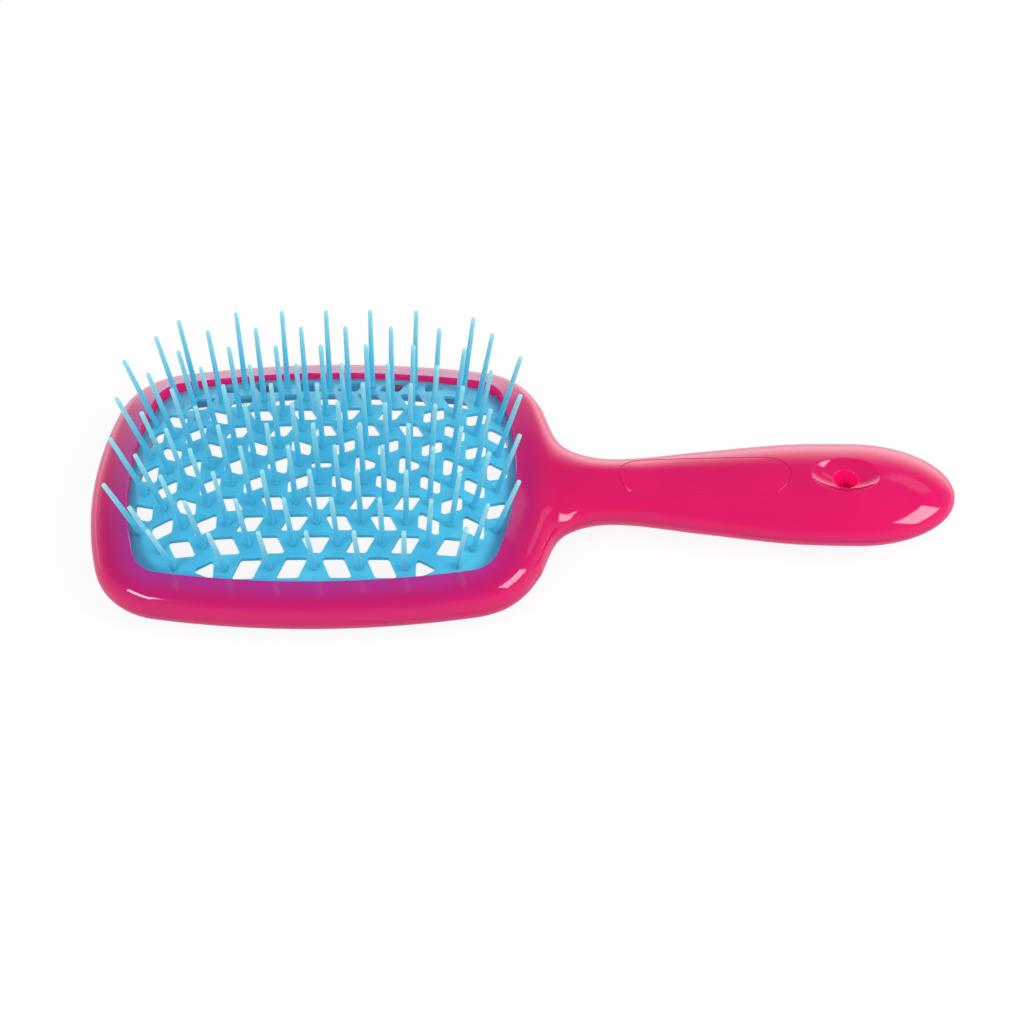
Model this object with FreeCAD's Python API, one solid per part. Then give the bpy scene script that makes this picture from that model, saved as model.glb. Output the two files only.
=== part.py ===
import FreeCAD, Part
import math
import os
from FreeCAD import Vector

# Detangling brush: a hollow two-shell frame with a handle, a domed vented pin bed and rows of pins.
# The handle lies along X with its belly on the table (z = 0). The head is modelled flat, about the centre
# of its window, and is then tilted so that its front end comes down to the same table.

# Pin field, millimetres
PIN_PITCH = 10.4            # between pins of one row
ROW_PITCH = 6.0             # between rows
PINS_EACH_SIDE = 4          # pin pitches from the middle to the last pin of a full row
ROWS_EACH_SIDE = 5          # rows on each side of the middle row
CORNER_PIN_OUT = 1.5        # last pins of the outermost rows stand further out along the row
CORNER_PIN_IN = 1.2         # and nearer to the middle of the head
PIN_LENGTH = 19.9
PIN_ROOT_DIAMETER = 1.5
PIN_TIP_DIAMETER = 1.05
PIN_FAN = 1.1               # lean of the pins, as a share of the bed's own slope
PIN_ROOT_GAP = 0.6          # a pin's root stays this far off the bed

# Pin bed
CROWN_HEIGHT = 10.0         # middle of the bed above the parting plane
BOW_ALONG = 1.0             # fall of the bed at the last pin of a full row, round part
ROLL_ALONG = 2.4            # and its steeper part near the edge
BOW_ACROSS = 2.1            # the same at the outermost row
ROLL_ACROSS = 1.3
BED_THICKNESS = 1.0
SKIRT_WALL = 1.2
SKIRT_DROP = 1.0            # the skirt reaches this far below the parting plane
BED_FIT = 0.1               # gap between the skirt and the window's wall
VENT_WIDTH = 4.7            # of a vent in the middle row
VENT_HEIGHT = 4.5
VENT_GROWTH = 0.12          # the outermost rows' vents are larger by this share, the rows between by less
VENT_LEAN = 2.3             # sideways shift between a vent's two level edges
VENT_SLANT = 2.2            # height shift between a vent's two upright edges
VENT_CORNER = 0.7

# Window and rim of the head
END_MARGIN = 4.6            # from the last pin of a full row to the window's end
SIDE_MARGIN = 4.6           # from the outermost row to the window's side
WINDOW_CORNER = 8.0
WINDOW_END_BOW = 92.0       # radii of the window's gently curved ends and sides
WINDOW_SIDE_BOW = 212.0
RIM_END = 9.3               # width of the rim at the ends and at the sides
RIM_SIDE = 7.1
RIM_CORNER = 18.5
RIM_END_BOW = 96.0
RIM_SIDE_BOW = 215.0
RIM_TOP_SLOPE = 20.0        # degrees
RIM_TOP_RADIUS = 5.0
RIM_BAND = 0.8              # upright band above the parting plane
RIM_BACK_DEPTH = 4.5        # rounded back below the parting plane
BACK_FLARE = 2.2            # the window opens out by this to the back, at half a right angle
RIM_DEPTH = 11.5            # the rim is modelled this far in before the window is cut
WALL = 2.0

# Snap lugs of the window's sides and the skirt's slots
SNAP_PITCH = 16.0
SNAPS_EACH_SIDE = 2
SNAP_WIDTH = 2.4
SNAP_HEIGHT = 2.0
SNAP_LIFT = 2.2             # above the parting plane
SNAP_DEPTH = 0.9            # beyond the window's wall
SNAP_CLEARANCE = 0.25

# Handle, stations measured from the neck's root
NECK_ROOT = 0.8             # beyond the head's rim
NECK_WIDTH = 18.4
NECK_THICKNESS = 12.4
NECK_FLARE = 17.5           # radius of the flare from the neck to the rim, seen from above
NECK_BITE = 0.6             # the flare's arc crosses the rim's outline by this
ROOT_THICKNESS = 10.0       # of the handle where the flare meets the rim
ROOT_SINK = 3.0             # the handle runs on into the rim by this
GRIP_STATION = 34.0
GRIP_WIDTH = 24.2
GRIP_THICKNESS = 13.4
SWELL_STATION = 54.0
SWELL_WIDTH = 30.0
SWELL_THICKNESS = 14.1
BELLY_STATION = 70.5
BELLY_WIDTH = 31.0
BELLY_THICKNESS = 14.4
HANDLE_LENGTH = 94.5

# Hanging eye near the handle's end
EYE_STATION = 68.0
EYE_BORE = 5.8
EYE_LENGTH = 16.8           # dished recess round the bore, at the level of the handle's crown
EYE_WIDTH = 12.2
EYE_DEPTH = 2.4
EYE_RISE = 4.0              # the dish is hollowed about a middle this far over the crown
EYE_BOSS_WALL = 1.6

# Plain oval outline on the grip
PANEL_START = 14.0
PANEL_END = 55.0
PANEL_WIDTH = 12.0
PANEL_GROOVE = 0.35
PANEL_GROOVE_DEPTH = 0.2

PIN_REACH = PINS_EACH_SIDE * PIN_PITCH
ROW_REACH = ROWS_EACH_SIDE * ROW_PITCH
WINDOW_HALF_LENGTH = PIN_REACH + END_MARGIN
WINDOW_HALF_WIDTH = ROW_REACH + SIDE_MARGIN
HEAD_HALF_LENGTH = WINDOW_HALF_LENGTH + RIM_END
HEAD_HALF_WIDTH = WINDOW_HALF_WIDTH + RIM_SIDE
NECK_X = HEAD_HALF_LENGTH + NECK_ROOT
AXIS_HEIGHT = BELLY_THICKNESS / 2

# The head's back is flat up to the rounded edge of its front end, which touches the table
FRONT_FOOT = NECK_X + HEAD_HALF_LENGTH - RIM_BACK_DEPTH
HEAD_TILT = math.degrees(math.asin((AXIS_HEIGHT - RIM_BACK_DEPTH) / FRONT_FOOT))
FRONT_END = (NECK_X + HEAD_HALF_LENGTH) * math.cos(math.radians(HEAD_TILT))
NECK_PLACE = (FRONT_END - HANDLE_LENGTH) / 2


def in_head(shape):
    """Move a shape from the head's own coordinates to the brush."""
    placed = shape.copy()
    placed.translate(Vector(-NECK_X, 0, 0))
    placed.rotate(Vector(0, 0, 0), Vector(0, 1, 0), -HEAD_TILT)
    placed.translate(Vector(NECK_PLACE, 0, AXIS_HEIGHT))
    return placed


def in_handle(shape):
    """Move a shape from the handle's own coordinates to the brush."""
    placed = shape.copy()
    placed.translate(Vector(NECK_PLACE, 0, AXIS_HEIGHT))
    return placed


def bed_fall(x, y):
    """Fall of the bed's surface below its crown."""
    along = (x / PIN_REACH) ** 2
    across = (y / ROW_REACH) ** 2
    return BOW_ALONG * along + ROLL_ALONG * along ** 2 + BOW_ACROSS * across + ROLL_ACROSS * across ** 2


def bed_slope(x, y):
    """Slopes of the bed's surface along and across the head."""
    along = (2 * BOW_ALONG + 4 * ROLL_ALONG * (x / PIN_REACH) ** 2) * x / PIN_REACH ** 2
    across = (2 * BOW_ACROSS + 4 * ROLL_ACROSS * (y / ROW_REACH) ** 2) * y / ROW_REACH ** 2
    return along, across


def bed_point(x, y):
    return Vector(x, y, CROWN_HEIGHT - bed_fall(x, y))


def bed_surface(drop):
    """The bed's surface, lowered by drop: a patch of degree four each way that reaches past the window."""
    reach_x = WINDOW_HALF_LENGTH + WALL
    reach_y = WINDOW_HALF_WIDTH + WALL
    square = (1, 0, -1 / 3, 0, 1)
    fourth = (1, -1, 1, -1, 1)
    spread = (-1, -0.5, 0, 0.5, 1)
    along = (reach_x / PIN_REACH) ** 2
    across = (reach_y / ROW_REACH) ** 2
    patch = Part.BezierSurface()
    patch.increase(4, 4)
    for i in range(5):
        fall_x = BOW_ALONG * along * square[i] + ROLL_ALONG * along ** 2 * fourth[i]
        for j in range(5):
            fall_y = BOW_ACROSS * across * square[j] + ROLL_ACROSS * across ** 2 * fourth[j]
            pole = Vector(reach_x * spread[i], reach_y * spread[j], CROWN_HEIGHT - drop - fall_x - fall_y)
            patch.setPole(i + 1, j + 1, pole)
    return patch.toShape()


def bowed_arcs(half_length, half_width, end_bow, side_bow, corner):
    """Eight tangent arcs of an oblong with bowed sides: (centre, radius, start angle, end angle)."""
    end_x = half_length - end_bow
    side_y = half_width - side_bow
    reach_end = end_bow - corner
    reach_side = side_bow - corner
    gap = math.hypot(end_x, side_y)
    share = (reach_end ** 2 - reach_side ** 2 + gap ** 2) / (2 * gap)
    rise = math.sqrt(reach_end ** 2 - share ** 2)
    toward = Vector(-end_x / gap, side_y / gap, 0)
    across = Vector(-toward.y, toward.x, 0)
    corners = [Vector(end_x, 0, 0) + toward * share + across * rise * turn for turn in (1, -1)]
    middle = max(corners, key=lambda point: min(point.x, point.y))
    end_turn = math.degrees(math.atan2(middle.y, middle.x - end_x))
    side_turn = math.degrees(math.atan2(middle.y - side_y, middle.x))
    arcs = []
    arcs.append((Vector(end_x, 0, 0), end_bow, -end_turn, end_turn))
    arcs.append((middle, corner, end_turn, side_turn))
    arcs.append((Vector(0, side_y, 0), side_bow, side_turn, 180 - side_turn))
    arcs.append((Vector(-middle.x, middle.y, 0), corner, 180 - side_turn, 180 - end_turn))
    arcs.append((Vector(-end_x, 0, 0), end_bow, 180 - end_turn, 180 + end_turn))
    arcs.append((Vector(-middle.x, -middle.y, 0), corner, 180 + end_turn, 180 + side_turn))
    arcs.append((Vector(0, -side_y, 0), side_bow, 180 + side_turn, 360 - side_turn))
    arcs.append((Vector(middle.x, -middle.y, 0), corner, 360 - side_turn, 360 - end_turn))
    return arcs


def head_arcs():
    return bowed_arcs(HEAD_HALF_LENGTH, HEAD_HALF_WIDTH, RIM_END_BOW, RIM_SIDE_BOW, RIM_CORNER)


def window_arcs(grow):
    """The window's outline, larger by grow all round."""
    return bowed_arcs(WINDOW_HALF_LENGTH + grow, WINDOW_HALF_WIDTH + grow,
                      WINDOW_END_BOW + grow, WINDOW_SIDE_BOW + grow, WINDOW_CORNER + grow)


def outline(arcs, height):
    """Closed outline of arcs at a height."""
    edges = []
    for centre, radius, start, end in arcs:
        circle = Part.Circle(centre + Vector(0, 0, height), Vector(0, 0, 1), radius)
        edges.append(Part.Arc(circle, math.radians(start), math.radians(end)).toShape())
    return Part.Wire(Part.__sortEdges__(edges))


def prism(arcs, bottom, top):
    """Upright solid over an outline of arcs."""
    return Part.Face(outline(arcs, bottom)).extrude(Vector(0, 0, top - bottom))


def window_tools(grow):
    """Solids that cut the window and its flare at the back, larger by grow all round."""
    straight = prism(window_arcs(grow), -CROWN_HEIGHT, 2 * CROWN_HEIGHT)
    top = BACK_FLARE - RIM_BACK_DEPTH + grow * (math.sqrt(2) - 1)
    reach = BACK_FLARE + WALL
    narrow = outline(window_arcs(grow), top)
    wide = outline(window_arcs(grow + reach), top - reach)
    return [in_head(straight), in_head(Part.makeLoft([narrow, wide], True, True))]


def rim_section(radius, inset):
    """Section of the rim at one arc's start, from its rounded outer edge inwards, as a face at angle 0."""
    slope = math.radians(RIM_TOP_SLOPE)
    back = RIM_BACK_DEPTH - inset
    top = RIM_TOP_RADIUS - inset
    edge = radius - inset
    back_centre = Vector(radius - RIM_BACK_DEPTH, 0, 0)
    top_centre = Vector(radius - RIM_TOP_RADIUS, 0, RIM_BAND)
    inner = radius - RIM_DEPTH
    bend = 0.5 * (math.pi / 2 - slope)
    top_end = top_centre + Vector(math.sin(slope), 0, math.cos(slope)) * top
    top_mid = top_centre + Vector(math.cos(bend), 0, math.sin(bend)) * top
    inner_top = Vector(inner, 0, top_end.z + (top_end.x - inner) * math.tan(slope))
    back_end = back_centre + Vector(0, 0, -back)
    back_mid = back_centre + Vector(math.cos(math.pi / 4), 0, -math.sin(math.pi / 4)) * back
    low = Vector(edge, 0, 0)
    high = Vector(edge, 0, RIM_BAND)
    inner_back = Vector(inner, 0, back_end.z)
    edges = [
        Part.LineSegment(inner_back, back_end).toShape(),
        Part.Arc(back_end, back_mid, low).toShape(),
        Part.LineSegment(low, high).toShape(),
        Part.Arc(high, top_mid, top_end).toShape(),
        Part.LineSegment(top_end, inner_top).toShape(),
        Part.LineSegment(inner_top, inner_back).toShape(),
    ]
    return Part.Face(Part.Wire(edges))


def rim_solid(inset):
    """The rim before its window is cut, one turned sector for each arc of the head's outline."""
    sectors = []
    for centre, radius, start, end in head_arcs():
        section = rim_section(radius, inset)
        section.rotate(Vector(0, 0, 0), Vector(0, 0, 1), start)
        section.translate(centre)
        sectors.append(section.revolve(centre, Vector(0, 0, 1), end - start))
    return sectors[0].multiFuse(sectors[1:]).removeSplitter()


def handle_course(inset):
    """Stations of the handle, from its root to its end: places and headings.

    A place holds the distance from the neck's root, the half width and the half thickness.
    """
    bow_centre = HEAD_HALF_LENGTH - RIM_END_BOW - NECK_X
    reach = RIM_END_BOW + NECK_FLARE - NECK_BITE
    side = NECK_WIDTH / 2 + NECK_FLARE
    lead = math.asin(side / reach)
    flare_x = bow_centre + reach * math.cos(lead)
    sweep = math.pi / 2 - lead
    radius = NECK_FLARE + inset
    thin = ROOT_THICKNESS / 2 - inset
    rise = (NECK_THICKNESS - ROOT_THICKNESS) / 2
    places = []
    headings = []
    for share in (0, 0.2, 0.45, 0.7, 1):
        angle = math.pi + lead + share * sweep
        half_thickness = thin + rise * math.sin(share * math.pi / 2)
        along = flare_x + radius * math.cos(angle)
        places.append(Vector(along, side + radius * math.sin(angle), half_thickness))
        thickening = rise * math.cos(share * math.pi / 2) * math.pi / 2 / (sweep * radius)
        headings.append(Vector(-math.sin(angle), math.cos(angle), thickening))
    sink = Vector(-ROOT_SINK, ROOT_SINK, RIM_BACK_DEPTH - ROOT_THICKNESS / 2 - inset / 5)
    places.insert(0, places[0] + sink)
    headings.insert(0, sink * -1)
    neck = places[-1]
    grip = Vector(GRIP_STATION, GRIP_WIDTH / 2 - inset, GRIP_THICKNESS / 2 - inset)
    swell = Vector(SWELL_STATION, SWELL_WIDTH / 2 - inset, SWELL_THICKNESS / 2 - inset)
    belly = Vector(BELLY_STATION, BELLY_WIDTH / 2 - inset, BELLY_THICKNESS / 2 - inset)
    places += [grip, swell]
    headings += [swell - neck, belly - grip]
    end_length = HANDLE_LENGTH - BELLY_STATION - inset
    for angle in (0, 30, 60, 90):
        over = math.sin(math.radians(angle))
        left = math.cos(math.radians(angle))
        places.append(Vector(BELLY_STATION + end_length * over, belly.y * left, belly.z * left))
        headings.append(Vector(end_length * left, -belly.y * over, -belly.z * over))
    return places, headings


def handle_solid(inset):
    """Handle from inside the rim to its rounded end, one smooth oval surface closed at its root."""
    places, headings = handle_course(inset)
    knots = [0]
    for here, there in zip(places, places[1:]):
        knots.append(knots[-1] + (there - here).Length)
    course = [places[0]]
    for index in range(len(places) - 1):
        third = (knots[index + 1] - knots[index]) / 3
        course.append(places[index] + headings[index].normalize() * third)
        course.append(places[index + 1] - headings[index + 1].normalize() * third)
    course.append(places[-1])
    poles = []
    weights = []
    for step in range(9):
        angle = math.radians(45 * (step % 8) - 60)
        size = 1 if step % 2 == 0 else math.sqrt(2)
        wide = size * math.cos(angle)
        high = size * math.sin(angle)
        poles.append([Vector(pole.x, pole.y * wide, pole.z * high) for pole in course])
        weights.append([1 / size] * len(course))
    times = [4] + [2] * (len(places) - 2) + [4]
    skin = Part.BSplineSurface()
    skin.buildFromPolesMultsKnots(poles, [3, 2, 2, 2, 3], times, [0, 1, 2, 3, 4], knots,
                                  False, False, 2, 3, weights)
    face = skin.toShape()
    root = [edge for edge in face.Edges if abs(edge.BoundBox.XMax - places[0].x) < 0.01]
    shell = Part.makeShell([face, Part.Face(Part.Wire(root))])
    shell.sewShape()
    return Part.Solid(shell)


def eye_recess(grow):
    """The dished recess round the hanging bore, the cap of an ellipsoid, larger by grow all round."""
    high = EYE_RISE + EYE_DEPTH
    share = math.sqrt(1 - (EYE_RISE / high) ** 2)
    stretch = FreeCAD.Matrix()
    stretch.scale(EYE_LENGTH / 2 / share + grow, EYE_WIDTH / 2 / share + grow, high + grow)
    dish = Part.makeSphere(1).transformGeometry(stretch)
    dish.translate(Vector(EYE_STATION, 0, BELLY_THICKNESS / 2 + EYE_RISE))
    return dish


def eye_bore(grow):
    """The hanging bore through the handle, larger by grow all round."""
    bottom = Vector(EYE_STATION, 0, -BELLY_THICKNESS)
    return Part.makeCylinder(EYE_BORE / 2 + grow, 2 * BELLY_THICKNESS, bottom)


def oval_prism(width):
    """Upright solid over the oval outline on the grip."""
    start = PANEL_START + PANEL_WIDTH / 2
    end = PANEL_END - PANEL_WIDTH / 2
    solid = Part.makeBox(end - start, width, BELLY_THICKNESS, Vector(start, -width / 2, 0))
    caps = [Part.makeCylinder(width / 2, BELLY_THICKNESS, Vector(station, 0, 0)) for station in (start, end)]
    return solid.multiFuse(caps).removeSplitter()


def panel_groove():
    """The shallow groove of the oval outline, following the handle's surface."""
    band = oval_prism(PANEL_WIDTH).cut(oval_prism(PANEL_WIDTH - 2 * PANEL_GROOVE))
    return band.cut(handle_solid(PANEL_GROOVE_DEPTH))


def front_half():
    """All the space above the parting surface, which follows the head and then the handle's axis."""
    far = 3 * HANDLE_LENGTH
    tilt = math.radians(HEAD_TILT)
    corners = [
        Vector(NECK_PLACE, -far, AXIS_HEIGHT),
        Vector(far, -far, AXIS_HEIGHT),
        Vector(far, -far, far),
        Vector(-far, -far, far),
        Vector(NECK_PLACE - far * math.cos(tilt), -far, AXIS_HEIGHT - far * math.sin(tilt)),
    ]
    outline = Part.makePolygon(corners + [corners[0]])
    return Part.Face(outline).extrude(Vector(0, 2 * far, 0))


def snap_blocks(grow, depth):
    """Blocks on the window's two sides, larger by grow along and up, reaching in by depth."""
    blocks = []
    for step in range(-SNAPS_EACH_SIDE, SNAPS_EACH_SIDE + 1):
        x = step * SNAP_PITCH
        wall = WINDOW_HALF_WIDTH - WINDOW_SIDE_BOW + math.sqrt(WINDOW_SIDE_BOW ** 2 - x ** 2)
        for side in (-1, 1):
            middle = side * (wall + (WALL / 2 - depth) / 2)
            deep = WALL / 2 + depth
            corner = Vector(x - SNAP_WIDTH / 2 - grow, middle - deep / 2, SNAP_LIFT - grow)
            blocks.append(Part.makeBox(SNAP_WIDTH + 2 * grow, deep, SNAP_HEIGHT + 2 * grow, corner))
    return blocks


def hollow_frame():
    """Rim and handle as one hollow body with its window and hanging eye, before it is parted."""
    outside = in_head(rim_solid(0)).fuse(in_handle(handle_solid(0)))
    room = in_head(rim_solid(WALL)).fuse(in_handle(handle_solid(WALL)))
    room = room.cut(window_tools(WALL) + [in_handle(eye_recess(WALL)), in_handle(eye_bore(EYE_BOSS_WALL))])
    return outside.cut([room] + window_tools(0) + [in_handle(eye_recess(0)), in_handle(eye_bore(0))])


def front_shell(frame):
    shell = frame.common(front_half()).cut(in_handle(panel_groove()))
    return shell.multiFuse([in_head(block) for block in snap_blocks(0, SNAP_DEPTH)])


def back_shell(frame):
    return frame.cut(front_half())


def rounded_outline(corners, radius):
    """Closed outline through convex corners, each rounded."""
    bends = []
    for index, here in enumerate(corners):
        back = (corners[index - 1] - here).normalize()
        onward = (corners[(index + 1) % len(corners)] - here).normalize()
        half = back.getAngle(onward) / 2
        reach = radius / math.tan(half)
        middle = here + (back + onward).normalize() * (radius / math.sin(half) - radius)
        bends.append((here + back * reach, middle, here + onward * reach))
    edges = []
    for index, bend in enumerate(bends):
        edges.append(Part.Arc(*bend).toShape())
        edges.append(Part.LineSegment(bend[2], bends[(index + 1) % len(bends)][0]).toShape())
    return Part.Wire(edges)


def vent_columns(row):
    """Places of a row's vents, in pin pitches: between its pins and, in the shorter rows, past the last."""
    if row % 2:
        reach = PINS_EACH_SIDE - 0.5
    else:
        reach = PINS_EACH_SIDE
    if abs(row) >= ROWS_EACH_SIDE - 1:
        reach -= 1
    return [step - reach for step in range(int(2 * reach) + 1)]


def vent_corners(column, row):
    """Corners of one vent. Vents lean in mirrored pairs about the head's two middle lines."""
    x = column * PIN_PITCH
    y = row * ROW_PITCH
    larger = 1 + VENT_GROWTH * (row / ROWS_EACH_SIDE) ** 2
    half_width = larger * VENT_WIDTH / 2
    half_height = larger * VENT_HEIGHT / 2
    if abs(row) == ROWS_EACH_SIDE and abs(column) > PINS_EACH_SIDE - 2:
        outward = math.copysign(half_width, column)
        corners = [Vector(x + outward, y, 0), Vector(x - outward, y + half_height, 0),
                   Vector(x - outward, y - half_height, 0)]
        return corners if column > 0 else corners[::-1]
    parity = 1 if row % 2 == 0 else -1
    level = (abs(row) >= 2 and abs(column) <= 2) or abs(row) == ROWS_EACH_SIDE - 1
    corners = []
    for right, far in ((-1, -1), (1, -1), (1, 1), (-1, 1)):
        side = math.copysign(1, column) if column else right
        end = math.copysign(1, row) if row else far
        shift_x = 0
        shift_y = 0
        if level:
            shift_x = side * parity * VENT_LEAN / 2 * (-1 if far == end else 1)
        else:
            shift_y = end * parity * VENT_SLANT / 2 * (-1 if right == side else 1)
        corners.append(Vector(x + right * half_width + shift_x, y + far * half_height + shift_y, 0))
    return corners


def vents():
    """All vents as upright solids, kept inside the skirt."""
    solids = []
    for row in range(-ROWS_EACH_SIDE, ROWS_EACH_SIDE + 1):
        for column in vent_columns(row):
            edge = rounded_outline(vent_corners(column, row), VENT_CORNER)
            solids.append(Part.Face(edge).extrude(Vector(0, 0, 2 * CROWN_HEIGHT)))
    inside = prism(window_arcs(-BED_FIT - SKIRT_WALL), 0, 2 * CROWN_HEIGHT)
    return Part.makeCompound(solids).common(inside)


def under_bed(drop):
    return bed_surface(drop).extrude(Vector(0, 0, -3 * CROWN_HEIGHT))


def pin_bed():
    """Domed bed with its skirt, vents and snap slots."""
    block = prism(window_arcs(-BED_FIT), -SKIRT_DROP, 2 * CROWN_HEIGHT).common(under_bed(0))
    inside = prism(window_arcs(-BED_FIT - SKIRT_WALL), -SKIRT_DROP - WALL, 2 * CROWN_HEIGHT)
    room = inside.common(under_bed(BED_THICKNESS))
    slots = snap_blocks(SNAP_CLEARANCE, SKIRT_WALL + BED_FIT + SNAP_CLEARANCE)
    return in_head(block.cut(room).cut(vents()).cut(slots))


def pin_spots(row):
    """Places of a row's pins. Rows are staggered by half a pitch, and the outermost rows are shorter."""
    reach = PINS_EACH_SIDE
    if row % 2 == 0:
        reach -= 0.5
    outermost = abs(row) == ROWS_EACH_SIDE
    if outermost:
        reach -= 1
    spots = []
    for step in range(int(2 * reach) + 1):
        column = step - reach
        x = column * PIN_PITCH
        y = row * ROW_PITCH
        if outermost and abs(column) == reach:
            x += math.copysign(CORNER_PIN_OUT, column)
            y -= math.copysign(CORNER_PIN_IN, row)
        spots.append((x, y))
    return spots


def pin(x, y):
    """One tapered pin with a round tip, fanned out from the bed."""
    root = PIN_ROOT_DIAMETER / 2
    tip = PIN_TIP_DIAMETER / 2
    shoulder = PIN_LENGTH - tip
    bend = tip * math.sqrt(0.5)
    top = Vector(0, 0, PIN_LENGTH)
    edges = [
        Part.LineSegment(Vector(0, 0, 0), Vector(root, 0, 0)).toShape(),
        Part.LineSegment(Vector(root, 0, 0), Vector(tip, 0, shoulder)).toShape(),
        Part.Arc(Vector(tip, 0, shoulder), Vector(bend, 0, shoulder + bend), top).toShape(),
        Part.LineSegment(top, Vector(0, 0, 0)).toShape(),
    ]
    solid = Part.Face(Part.Wire(edges)).revolve(Vector(0, 0, 0), Vector(0, 0, 1), 360)
    along, across = bed_slope(x, y)
    lean = Vector(along * PIN_FAN, across * PIN_FAN, 1).normalize()
    solid.Placement = FreeCAD.Placement(bed_point(x, y) + lean * PIN_ROOT_GAP,
                                        FreeCAD.Rotation(Vector(0, 0, 1), lean))
    return in_head(solid)


def main():
    os.makedirs("parts", exist_ok=True)
    frame = hollow_frame()
    front_shell(frame).exportStep("parts/front_shell.step")
    back_shell(frame).exportStep("parts/back_shell.step")
    pin_bed().exportStep("parts/pin_bed.step")
    for row in range(-ROWS_EACH_SIDE, ROWS_EACH_SIDE + 1):
        pins = Part.makeCompound([pin(x, y) for x, y in pin_spots(row)])
        pins.exportStep(f"parts/pin_row_{row + ROWS_EACH_SIDE + 1:02d}.step")


if __name__ == "__main__":
    main()
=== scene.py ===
import math
from functools import partial

import bmesh
import bpy
import numpy as np
from mathutils import Matrix, Vector


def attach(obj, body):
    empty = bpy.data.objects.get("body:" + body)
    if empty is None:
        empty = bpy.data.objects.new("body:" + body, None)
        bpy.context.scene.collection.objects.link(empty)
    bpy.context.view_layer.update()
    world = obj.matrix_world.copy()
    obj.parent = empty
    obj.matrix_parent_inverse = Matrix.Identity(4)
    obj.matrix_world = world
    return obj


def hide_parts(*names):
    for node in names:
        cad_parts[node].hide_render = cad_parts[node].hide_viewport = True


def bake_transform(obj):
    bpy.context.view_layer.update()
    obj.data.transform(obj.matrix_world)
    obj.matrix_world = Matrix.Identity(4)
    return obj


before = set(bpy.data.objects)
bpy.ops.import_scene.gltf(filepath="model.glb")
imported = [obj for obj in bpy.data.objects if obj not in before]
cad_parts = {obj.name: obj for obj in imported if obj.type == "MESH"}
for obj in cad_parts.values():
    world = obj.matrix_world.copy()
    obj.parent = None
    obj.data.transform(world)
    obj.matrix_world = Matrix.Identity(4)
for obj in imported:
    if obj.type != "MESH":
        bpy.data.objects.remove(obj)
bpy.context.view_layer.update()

bl_info = {
    "name": "Detangling Brush",
    "version": (1, 0, 0),
    "blender": (4, 5, 0),
    "location": "3D View > Sidebar > Brush",
    "description": "Polished two-shell frame, vented bed, bending pins and a white studio",
    "category": "Object",
}

MM = 0.001
HEAD_FALL = 0.0251631  # fall of the head for each unit of its length
TINY = 1e-9  # slack in angles and lengths

# Mesh of the shells: columns of each stretch of the outline, rows round the edge and on to the inner edge
COUNTS = {"end": 34, "corner": 34, "side": 70, "root": 36, "neck": 40, "panel": 104, "grip": 10, "eye": 44, "tip": 30}
HEAD_COUNTS = [COUNTS[stretch] for stretch in ("end", "corner", "side", "corner")]
ROUND_ROWS = 14
TOP_ROWS = 12
ROUND_SHARE = 0.55  # the rounded edge takes up at most this share of a column
EDGE_SOFT = 0.16 * MM  # last row before an inner edge, which keeps the shading crisp there
MERGE = 0.002 * MM  # points nearer than this are one
SLIVER = 1e-7  # edges shorter than this are dissolved
SHARP = math.radians(60)

# Solving for the skins
SOLVE_STEPS = 44
SKIN_REACH = 30 * MM
EYE_REACH = 20 * MM
EYE_STEPS = 12
UP = np.array((0, 0, 1.0))
LEAST_WIDTH = 1e-6  # keeps the handle's field from dividing by nothing at its end
LEAST_SHARE = 1e-4  # and on its axis

# Course of the handle
FLARE_STOPS = (0, 0.2, 0.45, 0.7, 1)
FLARE_TURN = 0.62  # share of the flare's sweep that belongs to the head's columns
CURVE_STEPS = 60
END_STEPS = 400
STATIONS = 4000
SLOPE_REACH = 3 * MM
SLOPE_BLUR = 1 * MM
NECK_BEND = 8 * MM  # the head's tilt sets in over this length on each side of the neck's root

# Shares of the way across the groove, over the panel, down the window's wall and down the eye
GROOVE_EDGE = 0.62
GROOVE_ACROSS = np.array((1, GROOVE_EDGE, 0.5, 0.32, 0.14, -0.14, -0.32, -0.5, -GROOVE_EDGE, -1))
PANEL_STOPS = np.array((0.8, 0.55, 0.3, 0.12, 0))
FLARE_WALL = (0, 0.06, 0.5, 0.94)
WINDOW_WALL = (1, 0.977, 0.93, 0.75, 0.5, 0.25, 0)
DISH_STOPS = (0.04, 0.12, 0.25, 0.4, 0.55, 0.7, 0.85, 0.96, 1)
BEVEL_TURNS = (30, 60, 90)
BORE_STOPS = (0.96, 0.75, 0.4, 0)
BACK_BORE_STOPS = (1, 0.97, 0.8, 0.4, 0)

# Painted shade on the shells where the bed's skirt lies behind them, by its distance in millimetres, weaker towards
# the neck, and below zero a painted glow in the openings
SKIRT_AWAY = (0, 2, 3.5, 5, 6.8, 9.5, 14)
SKIRT_PAINTED_SHADE = (1, 0.86, 0.7, 0.48, 0.24, 0.12, 0)
NECK_FADE = 0.35
NECK_FADE_START = 28
NECK_FADE_RUN = 20
WALL_PAINTED_GLOW = -0.8
BEVEL_PAINTED_GLOW = -0.3
BORE_PAINTED_GLOW = -1
DISH_GLOW_ROWS = 4  # the bore's painted glow reaches this far up the dish

# Pins
PIN_RINGS = 11
PIN_SIDES = 10
FOOT_RISE = 4.0  # the fillet at the root rises by this many times its width
LEAN_STEP = 0.01 * MM

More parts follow.
